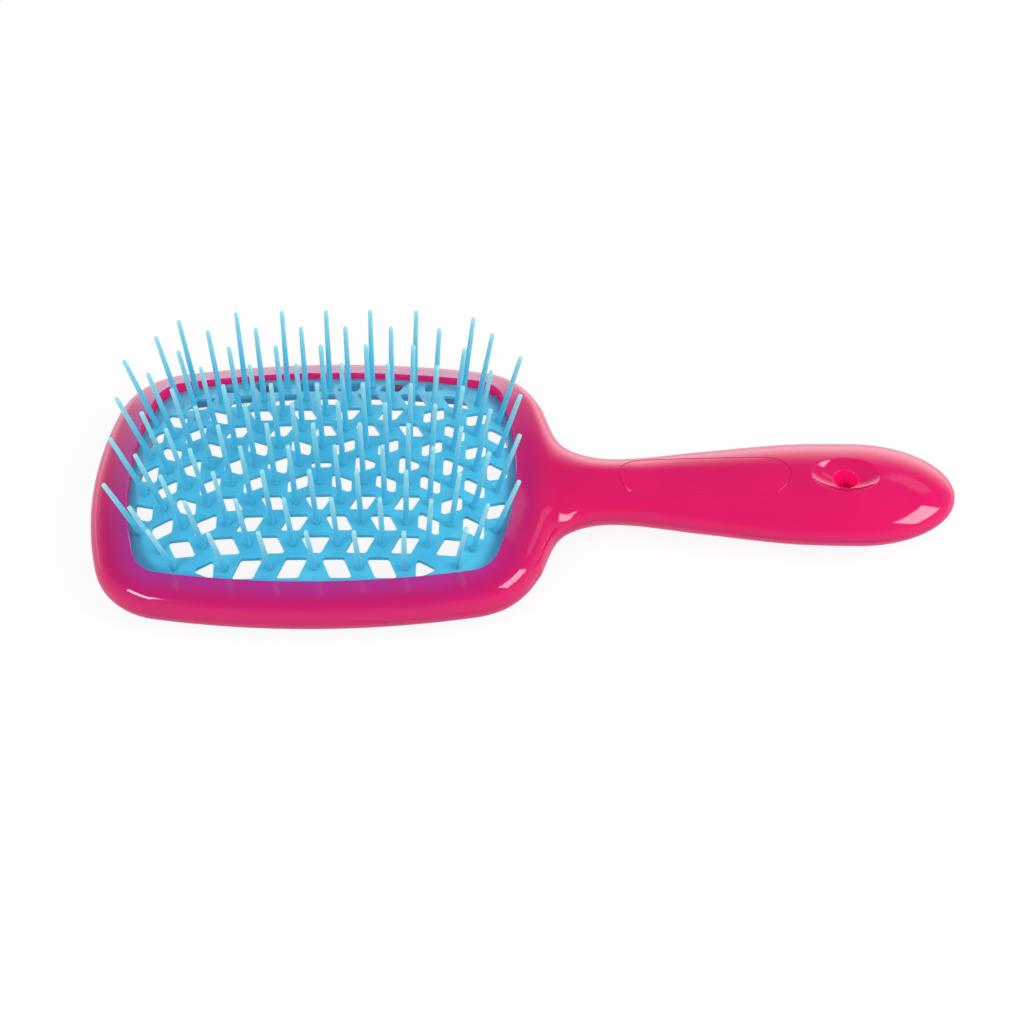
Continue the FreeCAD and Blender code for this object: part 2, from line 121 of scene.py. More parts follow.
# Studio, in metres
TABLE_HALF = 6
TABLE_LEVEL = -0.2 * MM
TABLE_WHITE = 0.9
TABLE_GLOW = 0.9  # the table's own light, as a share of what the camera and the reflections see of it
TABLE_SWEEP = (-0.05, 0.2)  # across the table, in reflections it turns from the walls' light to the backdrop's
WALL_TOP = (0.14, 0.6)  # sine of the elevation where the walls turn into the ceiling
BACKDROP_SIDE = (0.5, 0.92)  # cosine of the angle from straight behind where the walls turn into the backdrop
BACKDROP_TOP = (0.08, 0.62)  # sine of the elevation over which the backdrop fades
LAMP_AWAY = 0.8
SENSOR = 36
WHITE = (1, 1, 1, 1)


def size(name, text, millimetres):
    return bpy.props.FloatProperty(name=name, description=text, default=millimetres * MM,
                                   unit="LENGTH", subtype="DISTANCE", precision=5)


def angle(name, text, degrees):
    return bpy.props.FloatProperty(name=name, description=text, default=math.radians(degrees),
                                   subtype="ANGLE", unit="ROTATION")


def number(name, text, value):
    return bpy.props.FloatProperty(name=name, description=text, default=value)


def whole(name, text, value, least):
    return bpy.props.IntProperty(name=name, description=text, default=value, min=least)


def tint(name, text, red, green, blue):
    return bpy.props.FloatVectorProperty(name=name, description=text, default=(red, green, blue),
                                         size=3, min=0, max=1, subtype="COLOR")


class HeadSizes(bpy.types.PropertyGroup):
    """Window, rim and bed of the head, about the middle of its window."""
    window_half_length: size("Window half length", "Middle of the window to its end", 46.2)
    window_half_width: size("Window half width", "Middle of the window to its side", 34.6)
    window_end_bow: size("Window end bow", "Radius of the window's ends", 92)
    window_side_bow: size("Window side bow", "Radius of the window's sides", 212)
    window_corner: size("Window corner", "Radius of the window's corners", 8)
    half_length: size("Head half length", "Middle of the window to the rim's end", 55.5)
    half_width: size("Head half width", "Middle of the window to the rim's side", 41.7)
    end_bow: size("Rim end bow", "Radius of the rim's ends", 96)
    side_bow: size("Rim side bow", "Radius of the rim's sides", 215)
    corner: size("Rim corner", "Radius of the rim's corners", 18.5)
    band: size("Rim band", "Upright band over the parting line", 0.8)
    top_radius: size("Rim top radius", "Rounding of the rim's outer top edge", 5)
    top_slope: angle("Rim top slope", "Rise of the rim towards the window", 20)
    back_radius: size("Rim back radius", "Rounding of the rim's back edge", 4.5)
    back_flare: size("Back flare", "The window opens out by this to the back", 2.2)
    wall: size("Wall", "Thickness of both shells", 2)
    tilt: angle("Head tilt", "Fall of the head from the neck to its front end", math.degrees(math.asin(HEAD_FALL)))
    crown: size("Crown height", "Middle of the bed over the parting plane", 10)
    bow_along: size("Bow along", "Fall of the bed at the last pin, round part", 1.0)
    roll_along: size("Roll along", "Fall of the bed at the last pin, steep part", 2.4)
    bow_across: size("Bow across", "Fall of the bed at the last row, round part", 2.1)
    roll_across: size("Roll across", "Fall of the bed at the last row, steep part", 1.3)
    lug_pitch: size("Lug pitch", "Between the snap lugs inside the window", 16)
    lug_width: size("Lug width", "Width of a snap lug along the window", 2.4)
    lug_height: size("Lug height", "Height of a snap lug", 2.0)
    lug_lift: size("Lug lift", "Snap lugs over the parting plane", 2.2)
    lug_depth: size("Lug depth", "Reach of a snap lug into the window", 0.9)
    lug_sink: size("Lug sink", "A snap lug is moulded into the wall by this", 1)
    lug_draft: size("Lug draft", "A snap lug narrows by this on each side to its end", 0.2)
    lugs_each_side: whole("Lugs each side", "Snap lugs on each side of the middle one", 2, 0)


class HandleSizes(bpy.types.PropertyGroup):
    """Handle and hanging eye, measured from the neck's root."""
    neck_place: size("Neck place", "Neck's root along the brush", 8.632)
    axis_height: size("Axis height", "Handle's middle over the table", 7.2)
    neck_root: size("Neck root", "Neck's root beyond the rim's end", 0.8)
    neck_width: size("Neck width", "Width of the neck", 18.4)
    neck_thickness: size("Neck thickness", "Thickness of the neck", 12.4)
    neck_flare: size("Neck flare", "Radius of the flare from the neck to the rim", 17.5)
    neck_bite: size("Neck bite", "The flare crosses the rim's outline by this", 0.6)
    neck_fillet: size("Neck fillet", "Softness of the join between handle and rim", 3.6)
    root_thickness: size("Root thickness", "Handle's thickness where it meets the rim", 10)
    root_sink: size("Root sink", "The handle runs on into the rim by this", 8)
    grip_station: size("Grip station", "Slim part of the grip", 34)
    grip_width: size("Grip width", "Width at the slim part", 24.2)
    grip_thickness: size("Grip thickness", "Thickness at the slim part", 13.4)
    swell_station: size("Swell station", "Where the grip swells", 54)
    swell_width: size("Swell width", "Width at the swell", 30)
    swell_thickness: size("Swell thickness", "Thickness at the swell", 14.1)
    belly_station: size("Belly station", "Widest place of the handle", 70.5)
    belly_width: size("Belly width", "Width at the belly", 31)
    belly_thickness: size("Belly thickness", "Thickness at the belly", 14.4)
    length: size("Handle length", "From the neck's root to the end", 94.5)
    eye_station: size("Eye station", "Place of the hanging eye", 68)
    eye_bore: size("Eye bore", "Diameter of the hanging bore", 5.8)
    eye_length: size("Eye length", "Length of the dished recess at the crown's level", 16.8)
    eye_width: size("Eye width", "Width of the dished recess at the crown's level", 12.2)
    eye_depth: size("Eye depth", "Depth of the dish", 2.4)
    eye_rise: size("Eye rise", "The dish is hollowed about a middle this far over the crown", 4)
    eye_boss: size("Eye boss", "Wall round the bore", 1.6)
    eye_bevel: size("Eye bevel", "Softened edge of the bore in the dish", 0.3)
    panel_start: size("Panel start", "Start of the plain oval outline on the grip", 14)
    panel_end: size("Panel end", "End of the plain oval outline on the grip", 55)
    panel_width: size("Panel width", "Width of the plain oval outline", 12)
    panel_line: size("Panel line", "Width of the outline's groove", 0.35)
    panel_depth: size("Panel depth", "Depth of the outline's groove", 0.2)
    panel_edge: size("Panel edge", "The mesh follows the outline from this far outside it", 1)


class PinSizes(bpy.types.PropertyGroup):
    """Rows of pins on the bed."""
    pitch: size("Pin pitch", "Between the pins of one row", 10.4)
    row_pitch: size("Row pitch", "Between the rows", 6)
    each_side: whole("Pins each side", "Pin pitches from the middle of a full row", 4, 2)
    rows_each_side: whole("Rows each side", "Rows on each side of the middle row", 5, 1)
    corner_out: size("Corner pin out", "Last pins of the outermost rows stand out along the row", 1.5)
    corner_in: size("Corner pin in", "Last pins of the outermost rows stand nearer to the middle", 1.2)
    length: size("Pin length", "From the bed to the tip", 20.5)
    root: size("Pin root", "Diameter near the bed", 1.5)
    tip: size("Pin tip", "Diameter at the tip", 1.05)
    foot: size("Pin foot", "Moulded fillet round the root", 0.35)
    sink: size("Pin sink", "The root is moulded into the bed by this", 0.5)
    fan: bpy.props.FloatProperty(name="Pin fan", description="Lean of the pins, as a share of the bed's slope",
                                 default=1.1, subtype="FACTOR")


class Finishes(bpy.types.PropertyGroup):
    """Colours of the mouldings."""
    pink: tint("Shell pink", "Polished translucent shells", 0.69, 0.0035, 0.122)
    pink_deep: tint("Shell deep pink", "Shells where the plastic is thick", 0.64, 0.003, 0.113)
    # painted shade: the rim pink and the plum are darker copies of the shell's pink, graded in from the window's edge
    # where the bed's skirt lies behind the rim
    rim_shade_pink: tint("Rim pink", "Rim round the window", 0.48, 0.006, 0.138)
    skirt_shade_plum: tint("Rim plum", "Rim where the bed's skirt shows through it", 0.4, 0.025, 0.25)
    turquoise: tint("Bed turquoise", "Bed", 0.08, 0.565, 0.855)
    turquoise_deep: tint("Bed deep turquoise", "Bed, thicker places", 0.065, 0.505, 0.81)
    pin_root: tint("Pin root", "Pins near the bed", 0.075, 0.49, 0.71)
    pin_tip: tint("Pin tip", "Pins at their thin tips", 0.28, 0.585, 0.67)


class StudioSizes(bpy.types.PropertyGroup):
    """Camera and lamps."""
    azimuth: angle("Azimuth", "Camera round the brush", 0.648)
    elevation: angle("Elevation", "Camera over the table", 46.571)
    roll: angle("Roll", "Camera about its own axis", 0.131)
    distance: size("Distance", "Camera to its aim", 606.28)
    aim: bpy.props.FloatVectorProperty(name="Aim", description="Point in the middle of the picture",
                                       default=(-0.002481, -0.016142, 0.016923), size=3, unit="LENGTH",
                                       subtype="XYZ")
    lens: number("Lens", "Focal length in millimetres", 91.716)
    left: number("Left softbox", "Brightness of the main softbox", 13)
    right: number("Right softbox", "Brightness of the second softbox", 7)
    patch: number("Back softbox", "Brightness of the weak softbox behind", 0.65)
    backdrop: number("Backdrop", "Brightness of the backdrop in reflections", 2.6)
    walls: number("Walls", "Brightness of the other walls in reflections", 0.5)
    sky: number("Room light", "Even light from all round", 0.69)
    ceiling: number("Ceiling", "Brightness of the ceiling in reflections", 0.2)


def settings():
    return bpy.context.scene.brush_settings


def placed(name, data):
    """A new object in the scene."""
    piece = bpy.data.objects.new(name, data)
    bpy.context.scene.collection.objects.link(piece)
    return piece


# Outline of the frame: every curve below is for the half with y >= 0.

def bowed_half(half_length, half_width, end_bow, side_bow, corner):
    """Arcs of one half of a bowed oblong, from its front end to its back end: centre, radius, angles."""
    end_x = half_length - end_bow
    side_y = half_width - side_bow
    gap = math.hypot(end_x, side_y)
    share = ((end_bow - corner) ** 2 - (side_bow - corner) ** 2 + gap ** 2) / (2 * gap)
    rise = math.sqrt((end_bow - corner) ** 2 - share ** 2)
    toward = np.array((-end_x / gap, side_y / gap))
    across = np.array((-toward[1], toward[0]))
    middles = [np.array((end_x, 0)) + toward * share + across * rise * turn for turn in (1, -1)]
    x, y = max(middles, key=min)
    end_turn = math.atan2(y, x - end_x)
    side_turn = math.atan2(y - side_y, x)
    return [
        ((-end_x, 0), end_bow, math.pi, math.pi - end_turn),
        ((-x, y), corner, math.pi - end_turn, math.pi - side_turn),
        ((0, side_y), side_bow, math.pi - side_turn, side_turn),
        ((x, y), corner, side_turn, end_turn),
        ((end_x, 0), end_bow, end_turn, 0),
    ]


def rim_half(head, inset=0):
    """Arcs of the rim's outline, smaller by inset all round."""
    return bowed_half(*(part - inset for part in (head.half_length, head.half_width, head.end_bow, head.side_bow,
                                                  head.corner)))


def window_half(head, grow=0):
    """Arcs of the window's outline, larger by grow all round."""
    return bowed_half(*(part + grow for part in (head.window_half_length, head.window_half_width, head.window_end_bow,
                                                 head.window_side_bow, head.window_corner)))


def inward(arcs, x, y):
    """Distance of points from an outline, towards its inside."""
    best = np.full(x.shape, -1.0)
    y = np.abs(y)
    for (cx, cy), radius, start, end in arcs:
        turn = np.arctan2(y - cy, x - cx)
        inside = (turn >= min(start, end) - TINY) & (turn <= max(start, end) + TINY)
        best = np.where(inside, np.maximum(best, radius - np.hypot(x - cx, y - cy)), best)
    return best


def along_arc(arc, count):
    """Points of an arc without its last."""
    centre, radius, start, end = arc
    angles = start + (end - start) * np.arange(count) / count
    return np.array(centre) + radius * np.stack((np.cos(angles), np.sin(angles)), 1)


def eased(share):
    """A share from 0 to 1 that sets in and ends softly."""
    return share ** 2 * (3 - 2 * share)


class Handle:
    """Half width and half thickness of the handle along the brush."""

    def __init__(self, head, handle):
        self.neck_x = head.half_length + handle.neck_root
        bow_centre = -head.end_bow - handle.neck_root
        reach = head.end_bow + handle.neck_flare - handle.neck_bite
        side = handle.neck_width / 2 + handle.neck_flare
        lead = math.asin(side / reach)
        flare_x = bow_centre + reach * math.cos(lead)
        sweep = math.pi / 2 - lead
        thin = handle.root_thickness / 2
        rise = handle.neck_thickness / 2 - thin
        self.flare = (flare_x, side, handle.neck_flare, math.pi + lead, sweep)
        places = []
        headings = []
        for share in FLARE_STOPS:
            angle = math.pi + lead + share * sweep
            places.append((flare_x + handle.neck_flare * math.cos(angle), side + handle.neck_flare * math.sin(angle),
                           thin + rise * math.sin(share * math.pi / 2)))
            headings.append((-math.sin(angle), math.cos(angle),
                             rise * math.cos(share * math.pi / 2) * math.pi / 2 / (sweep * handle.neck_flare)))
        grip = (handle.grip_station, handle.grip_width / 2, handle.grip_thickness / 2)
        swell = (handle.swell_station, handle.swell_width / 2, handle.swell_thickness / 2)
        belly = (handle.belly_station, handle.belly_width / 2, handle.belly_thickness / 2)
        neck = places[-1]
        places += [grip, swell, belly]
        headings += [np.subtract(swell, neck), np.subtract(belly, grip), (1, 0, 0)]
        places = np.array(places)
        headings = np.array([np.array(h) / np.linalg.norm(h) for h in headings])
        run = []
        for index in range(len(places) - 1):
            here, there = places[index], places[index + 1]
            third = np.linalg.norm(there - here) / 3
            first = here + headings[index] * third
            second = there - headings[index + 1] * third
            t = np.linspace(0, 1, CURVE_STEPS)[:-1, None]
            run.append(here * (1 - t) ** 3 + 3 * first * t * (1 - t) ** 2 + 3 * second * t ** 2 * (1 - t)
                       + there * t ** 3)
        self.end = handle.length - handle.belly_station
        turn = np.linspace(0, math.pi / 2, END_STEPS)[:, None]
        round_end = np.concatenate((belly[0] + self.end * np.sin(turn), belly[1] * np.cos(turn),
                                    belly[2] * np.cos(turn)), 1)
        course = np.concatenate(run + [round_end])
        root = course[0] + np.array((-handle.root_sink, handle.root_sink, head.back_radius - thin))
        course = np.concatenate((root[None], course))
        self.start = root[0]
        self.stations = np.linspace(root[0], handle.length, STATIONS)
        self.widths = np.interp(self.stations, course[:, 0], course[:, 1])
        self.heights = np.interp(self.stations, course[:, 0], course[:, 2])
        step = self.stations[1] - self.stations[0]
        reach = int(SLOPE_REACH / step)
        blur = np.exp(-0.5 * (np.arange(-reach, reach + 1) * step / SLOPE_BLUR) ** 2)
        blur /= blur.sum()
        slopes = [np.pad(np.gradient(run, step), reach, mode="edge") for run in (self.widths, self.heights)]
        self.slopes = [np.convolve(slope, blur, mode="valid") for slope in slopes]
        self.belly = belly

    def spread(self, station):
        """Half width and half thickness at stations."""
        return [np.interp(station, self.stations, run) for run in (self.widths, self.heights)]

    def turn(self, station):
        """How the half width and half thickness change at stations."""
        return [np.interp(station, self.stations, run) for run in self.slopes]


def skin_field(head, handle, shape, front):
    """Distance-like field of the frame's outer skin on one side of the parting surface.

    It joins the rim and the handle with a soft fillet. Height counts away from the parting surface.
    """
    rim = rim_half(head)
    radius = head.top_radius if front else head.back_radius
    band = head.band if front else 0
    slope = head.top_slope if front else 0
    soft = handle.neck_fillet

    def rim_field(x, y, z):
        deep = inward(rim, x, y)
        over = z - band
        turn = np.arctan2(over, radius - deep)
        round_edge = np.hypot(radius - deep, over) - radius
        sloped = over * math.cos(slope) - (deep - radius) * math.sin(slope) - radius
        return np.where(over < 0, -deep, np.where(turn > math.pi / 2 - slope, sloped, round_edge))

    def handle_field(x, y, z):
        station = x - shape.neck_x
        wide, thick = (np.maximum(run, LEAST_WIDTH) for run in shape.spread(station))
        widening, thickening = shape.turn(station)
        reach = np.maximum(np.hypot(y / wide, z / thick), LEAST_SHARE)
        along = ((y / wide) ** 2 * widening / wide + (z / thick) ** 2 * thickening / thick) / reach
        across = y / wide ** 2 / reach
        up = z / thick ** 2 / reach
        side = (reach - 1) / np.maximum(np.sqrt(along ** 2 + across ** 2 + up ** 2), LEAST_WIDTH)
        return np.maximum(side, shape.start - station)

    def field(x, y, z):
        rim_part = rim_field(x, y, z)
        handle_part = handle_field(x, y, z)
        near = np.maximum(soft - np.abs(rim_part - handle_part), 0) / soft
        return np.minimum(rim_part, handle_part) - soft / 4 * near ** 2

    return field


class ShellMesh:
    """Collects the grids of one half of a shell and mirrors them."""

    def __init__(self):
        self.points = []
        self.painted_light = []
        self.faces = []
        self.count = 0

    def grid(self, rows, flip, painted_light=0):
        """Rows of points with shape (rows, columns, 3), and the painted shade and glow there."""
        rows = np.asarray(rows)
        high, wide = rows.shape[:2]
        index = self.count + np.arange(high * wide).reshape(high, wide)
        quads = np.stack((index[:-1, :-1], index[:-1, 1:], index[1:, 1:], index[1:, :-1]), -1).reshape(-1, 4)
        if flip:
            quads = quads[:, ::-1]
        self.points.append(rows.reshape(-1, 3))
        self.painted_light.append(np.broadcast_to(painted_light, (high, wide)).reshape(-1))
        self.faces.append(quads)
        self.count += high * wide

    def build(self):
        """Points, faces and painted shade and glow of both halves."""
        points = np.concatenate(self.points)
        faces = np.concatenate(self.faces)
        painted_light = np.concatenate(self.painted_light)
        mirrored = points * np.array((1, -1, 1))
        return (np.concatenate((points, mirrored)), np.concatenate((faces, faces[:, ::-1] + len(points))),
                np.concatenate((painted_light, painted_light)))


def on_brush(points, head, handle, neck_x):
    """Carries points from the straight layout to the brush, where the head tilts at the neck."""
    along = points[:, 0] - neck_x
    share = np.clip((along + NECK_BEND) / (2 * NECK_BEND), 0, 1)
    tilt = head.tilt * (1 - eased(share))
    rise = head.tilt * 2 * NECK_BEND * (share - share ** 3 + share ** 4 / 2) - head.tilt * NECK_BEND
    rise = np.where(along < -NECK_BEND, along * math.sin(head.tilt), rise)
    run = np.where(along < 0, along * math.cos(head.tilt), along)
    return np.stack((handle.neck_place + run - points[:, 2] * np.sin(tilt), points[:, 1],
                     handle.axis_height + rise + points[:, 2] * np.cos(tilt)), 1)


def even_swing(count):
    """Shares from -1 to 1 that lie closer at both ends, as the places of even steps round an oval do."""
    return -np.cos(np.pi * np.arange(count + 1) / count)


def window_line(head, grow):
    """Window's outline at the columns of the head, larger by grow all round."""
    window = window_half(head, grow)
    (middle, _), radius, first, _ = window[4]
    angles = first * (1 - np.arange(COUNTS["root"] + 1) / COUNTS["root"])
    last = np.stack((middle + radius * np.cos(angles), radius * np.sin(angles)), 1)
    return np.concatenate([along_arc(arc, count) for arc, count in zip(window, HEAD_COUNTS)] + [last])


def shell_columns(head, shape, inset, window_grow, panel, eye):
    """Plan of the shell's columns: points on the outline and on the inner edge, and the columns' groups."""
    rim = rim_half(head, inset)
    outer = np.concatenate([along_arc(arc, count) for arc, count in zip(rim, HEAD_COUNTS)])
    inner = window_line(head, window_grow)
    flare_x, side, radius, start, sweep = shape.flare
    radius += inset
    end_arc = rim[4]
    lead = start - math.pi
    rim_part = end_arc[1] * (end_arc[2] - lead)
    flare_part = radius * FLARE_TURN * sweep
    place = np.arange(COUNTS["root"] + 1) / COUNTS["root"] * (rim_part + flare_part)
    on_rim = end_arc[2] - np.minimum(place, rim_part) / end_arc[1]
    on_flare = start + np.maximum(place - rim_part, 0) / radius
    rim_points = np.stack((end_arc[0][0] + end_arc[1] * np.cos(on_rim), end_arc[1] * np.sin(on_rim)), 1)
    flare_points = np.stack((shape.neck_x + flare_x + radius * np.cos(on_flare), side + radius * np.sin(on_flare)), 1)
    root = np.where((place <= rim_part)[:, None], rim_points, flare_points)
    outer = np.concatenate((outer, root))
    head_columns = len(outer)

    eye_start, eye_end = eye
    panel_start, panel_end = panel
    lag = root[-1, 0] - inner[-1, 0]
    stations = [np.linspace(root[-1, 0], panel_start, COUNTS["neck"] + 1)[1:-1],
                (panel_start + panel_end) / 2 + (panel_end - panel_start) / 2 * even_swing(COUNTS["panel"]),
                np.linspace(panel_end, eye_start, COUNTS["grip"] + 1)[1:-1],
                (eye_start + eye_end) / 2 + (eye_end - eye_start) / 2 * even_swing(COUNTS["eye"])]
    belly_x = shape.neck_x + shape.belly[0]
    end = shape.end - inset
    first = math.asin((eye_end - belly_x) / end)
    tip_turn = first + (math.pi / 2 - first) * np.arange(1, COUNTS["tip"] + 1) / COUNTS["tip"]
    stations.append(belly_x + end * np.sin(tip_turn))
    x = np.concatenate(stations)
    wide = shape.spread(x - shape.neck_x)[0] - inset
    over = np.clip((x - belly_x) / end, 0, 1)
    wide = np.where(x > belly_x, (shape.belly[1] - inset) * np.sqrt(np.maximum(1 - over ** 2, 0)), wide)
    share = np.clip((x - root[-1, 0]) / (panel_start - root[-1, 0]), 0, 1)
    inner_x = x - lag * (1 - eased(share))
    outer = np.concatenate((outer, np.stack((x, wide), 1)))
    inner = np.concatenate((inner, np.stack((inner_x, 0 * x), 1)))
    panel_first = head_columns + COUNTS["neck"] - 1
    eye_first = panel_first + COUNTS["panel"] + COUNTS["grip"]
    return outer, inner, head_columns, panel_first, eye_first


def solve(field, level, start, direction, reach):
    """Points where rays from inside the skin meet it."""
    low = np.zeros(start.shape[:-1])
    high = np.full(start.shape[:-1], reach)
    for _ in range(SOLVE_STEPS):
        middle = (low + high) / 2
        at = start + direction * middle[..., None]
        inside = field(at[..., 0], at[..., 1], at[..., 2]) < level
        low = np.where(inside, middle, low)
        high = np.where(inside, high, middle)
    return start + direction * high[..., None]


def lifted(field, inset, plan, reach=SKIN_REACH):
    """Points of a skin over points on the parting surface."""
    return solve(field, -inset, np.column_stack((plan, np.zeros(len(plan)))), UP, reach)


def panel_lines(handle, shape):
    """Lines across the panel's outline: their feet on its middle line, their directions and their length."""
    reach = handle.panel_width / 2 + handle.panel_edge
    half = (handle.panel_end - handle.panel_start) / 2 + handle.panel_edge
    along = even_swing(COUNTS["panel"]) * half
    foot = np.clip(along, reach - half, half - reach)
    lean = np.clip((along - foot) / reach, -1, 1)
    feet = np.stack((shape.neck_x + (handle.panel_start + handle.panel_end) / 2 + foot, 0 * foot), 1)
    return feet, np.stack((lean, np.sqrt(1 - lean ** 2)), 1), reach


def panel_rows(handle, shape, field, inset):
    """Rows from round the panel to its middle line, with the groove of its outline in the outer skin."""
    feet, lines, reach = panel_lines(handle, shape)
    line = handle.panel_line
    middle = (handle.panel_width - line) / 2
    rows = []
    for place in np.concatenate(((reach,), middle + GROOVE_ACROSS * line, middle * PANEL_STOPS)):
        row = lifted(field, inset, feet + lines * place)
        if not inset:
            off = min(abs(place - middle) / (GROOVE_EDGE * line), 1)
            row[:, 2] -= handle.panel_depth * (1 - off ** 4)
        rows.append(row)
    return np.array(rows)


def eye_dish(handle, grow):
    """Half axes of the hollow that the eye's dish is the cap of, and its middle over the handle's axis."""
    high = handle.eye_rise + handle.eye_depth
    share = math.sqrt(1 - (handle.eye_rise / high) ** 2)
    return (handle.eye_length / 2 / share + grow, handle.eye_width / 2 / share + grow, high + grow,
            handle.belly_thickness / 2 + handle.eye_rise)


def half_ring():
    """Points of a half circle of radius 1 at the eye's columns: along the brush and to the side."""
    share = even_swing(COUNTS["eye"])
    return np.stack((share, np.sqrt(np.maximum(1 - share ** 2, 0))), 1)


def bore_radius(handle, inset):
    """Radius of the bore, or of the boss round it in the inner skin."""
    return handle.eye_bore / 2 + (handle.eye_boss if inset else 0)


def eye_edge(handle, shape, field, inset, front):
    """Edge of the eye in the skin, for the half with y >= 0."""
    middle = np.array((shape.neck_x + handle.eye_station, 0))
    ring = half_ring()
    long, wide, high, top = eye_dish(handle, inset)
    height = np.full(len(ring), handle.belly_thickness / 2 - inset)
    for _ in range(EYE_STEPS):
        if front:
            spread = np.sqrt(1 - ((top - height) / high) ** 2)
            plan = ring * np.array((long, wide)) * spread[:, None]
        else:
            plan = ring * bore_radius(handle, inset)
        edge = lifted(field, inset, middle + plan, EYE_REACH)
        height = edge[:, 2]
    return edge


def shell_skin(head, handle, shape, field, inset, window_grow, front):
    """One skin of a shell, as rows from the parting line to the inner edge.

    Also gives the number of the head's columns and the first column of the eye.
    """
    edge = eye_edge(handle, shape, field, inset, front)
    feet, lines, reach = panel_lines(handle, shape)
    panel_edge = feet + lines * reach
    outer, inner, head_columns, panel_first, eye_first = shell_columns(
        head, shape, inset, window_grow, panel_edge[[0, -1], 0], edge[[0, -1], 0])
    inner[eye_first:eye_first + COUNTS["eye"] + 1] = edge[:, :2]
    if front:
        inner[panel_first:panel_first + COUNTS["panel"] + 1] = panel_edge
    run = inner - outer
    distance = np.linalg.norm(run, axis=1)
    toward = run / np.maximum(distance, TINY)[:, None]
    centre_in = np.minimum((head.top_radius if front else head.back_radius) - inset, ROUND_SHARE * distance)
    centre = outer + toward * centre_in[:, None]
    flat = np.zeros(len(outer))
    rows = []
    for row in range(ROUND_ROWS):
        angle = math.pi / 2 * row / ROUND_ROWS
        start = np.column_stack((centre, flat))
        direction = np.column_stack((-toward * math.cos(angle), flat + math.sin(angle)))
        rows.append(solve(field, -inset, start, direction, SKIN_REACH))
    across = inner - centre
    places = [centre + across * (row / TOP_ROWS) for row in range(TOP_ROWS + 1)]
    back = np.minimum(EDGE_SOFT, 0.5 * np.linalg.norm(across, axis=1) / TOP_ROWS)
    places.insert(TOP_ROWS, places[-1] - toward * back[:, None])
    rows = np.array(rows + [lifted(field, inset, place) for place in places])
    rows[:, -1] = (outer[-1, 0], 0, 0)
    rows[0, :, 2] = 0
    return rows, head_columns, eye_first


def falling(edge, shares):
    """Rows that fall straight down from an edge to the given shares of its height."""
    return np.array([edge * np.array((1, 1, share)) for share in shares])


def window_wall(edge, foot):
    """Rows from the window's edge in the skin, down its flare where it has one, to the parting line."""
    reach = np.linalg.norm(edge[:, :2] - foot, axis=1)
    bottom = np.column_stack((foot, edge[:, 2] - reach))
    upright = falling(bottom, WINDOW_WALL)
    if reach.max() < MERGE:
        return upright
    return np.concatenate(([edge + (bottom - edge) * share for share in FLARE_WALL], upright))


def eye_rows(handle, shape, edge, grow, front):
    """Rows of the eye from its edge in the skin to the parting line."""
    if not front:
        return falling(edge, BACK_BORE_STOPS)
    middle = np.array((shape.neck_x + handle.eye_station, 0))
    ring = half_ring()
    radius = bore_radius(handle, grow)
    long, wide, high, top = eye_dish(handle, grow)
    bevel = handle.eye_bevel
    mouth = middle + ring * (radius + bevel)
    rows = [edge]
    for part in DISH_STOPS:
        plan = edge[:, :2] + (mouth - edge[:, :2]) * part
        off = (plan - middle) / np.array((long, wide))
        rows.append(np.column_stack((plan, top - high * np.sqrt(1 - (off ** 2).sum(1)))))
    mouth_height = rows[-1][:, 2]
    for turn in BEVEL_TURNS:
        out = bevel * (1 - math.sin(math.radians(turn)))
        down = bevel * (1 - math.cos(math.radians(turn)))
        rows.append(np.column_stack((middle + ring * (radius + out), mouth_height - down)))
    rows.extend(falling(np.column_stack((middle + ring * radius, mouth_height - bevel)), BORE_STOPS))
    return np.array(rows)


def painted_skirt_shade(head, points):
    """Painted shade where the bed's skirt lies behind the rim: full at the window, weaker towards the neck."""
    away = -inward(window_half(head), points[..., 0], points[..., 1]) / MM
    toward_neck = np.clip((points[..., 0] / MM - NECK_FADE_START) / NECK_FADE_RUN, 0, 1)
    return np.interp(away, SKIRT_AWAY, SKIRT_PAINTED_SHADE) * (1 - NECK_FADE * toward_neck)


def eye_painted_glow(count):
    """Painted glow within the eye, for each of its rows: none on the dish, a little at the bevel, full in the bore.
    """
    bevel = count - len(BORE_STOPS) - len(BEVEL_TURNS)
    return np.interp(np.arange(count), (bevel - DISH_GLOW_ROWS, bevel, bevel + 1),
                     (0, BEVEL_PAINTED_GLOW, BORE_PAINTED_GLOW))[:, None]


def shell_piece(name, front):
    """One closed shell, from its outer and inner skins, its window's wall and its eye."""
    head, handle = settings().head, settings().handle
    shape = Handle(head, handle)
    field = skin_field(head, handle, shape, front)
    mesh = ShellMesh()
    ends = []
    for inset in (0, head.wall):
        grow = inset if front else head.back_flare + inset * (math.sqrt(2) - 1)
        rows, head_columns, eye_first = shell_skin(head, handle, shape, field, inset, grow, front)
        flip = (inset == 0) == front
        # painted shade on the skin near the window's edge, painted glow on the window's wall and in the eye
        painted_light = painted_skirt_shade(head, rows)
        mesh.grid(rows, flip, painted_light)
        wall = window_wall(rows[-1, :head_columns], window_line(head, inset))
        wall_painted_light = np.full(wall.shape[:2], WALL_PAINTED_GLOW)
        wall_painted_light[0] = painted_light[-1, :head_columns]
        mesh.grid(wall, flip, wall_painted_light)
        eye = eye_rows(handle, shape, rows[-1, eye_first:eye_first + COUNTS["eye"] + 1], inset, front)
        mesh.grid(eye, flip, eye_painted_glow(len(eye)))
        if front:
            mesh.grid(panel_rows(handle, shape, field, inset), flip)
        ends.append((rows[0], wall[-1], eye[-1]))
    for kind, pair in enumerate(zip(*ends)):
        if len(pair[0]) != len(pair[1]):
            raise RuntimeError(f"{name}: the two skins have different columns")
        mesh.grid(pair, (kind == 0) != front)
    points, faces, painted_light = mesh.build()
    if not front:
        points = points * np.array((1, 1, -1))
    return on_brush(points, head, handle, shape.neck_x), faces, painted_light


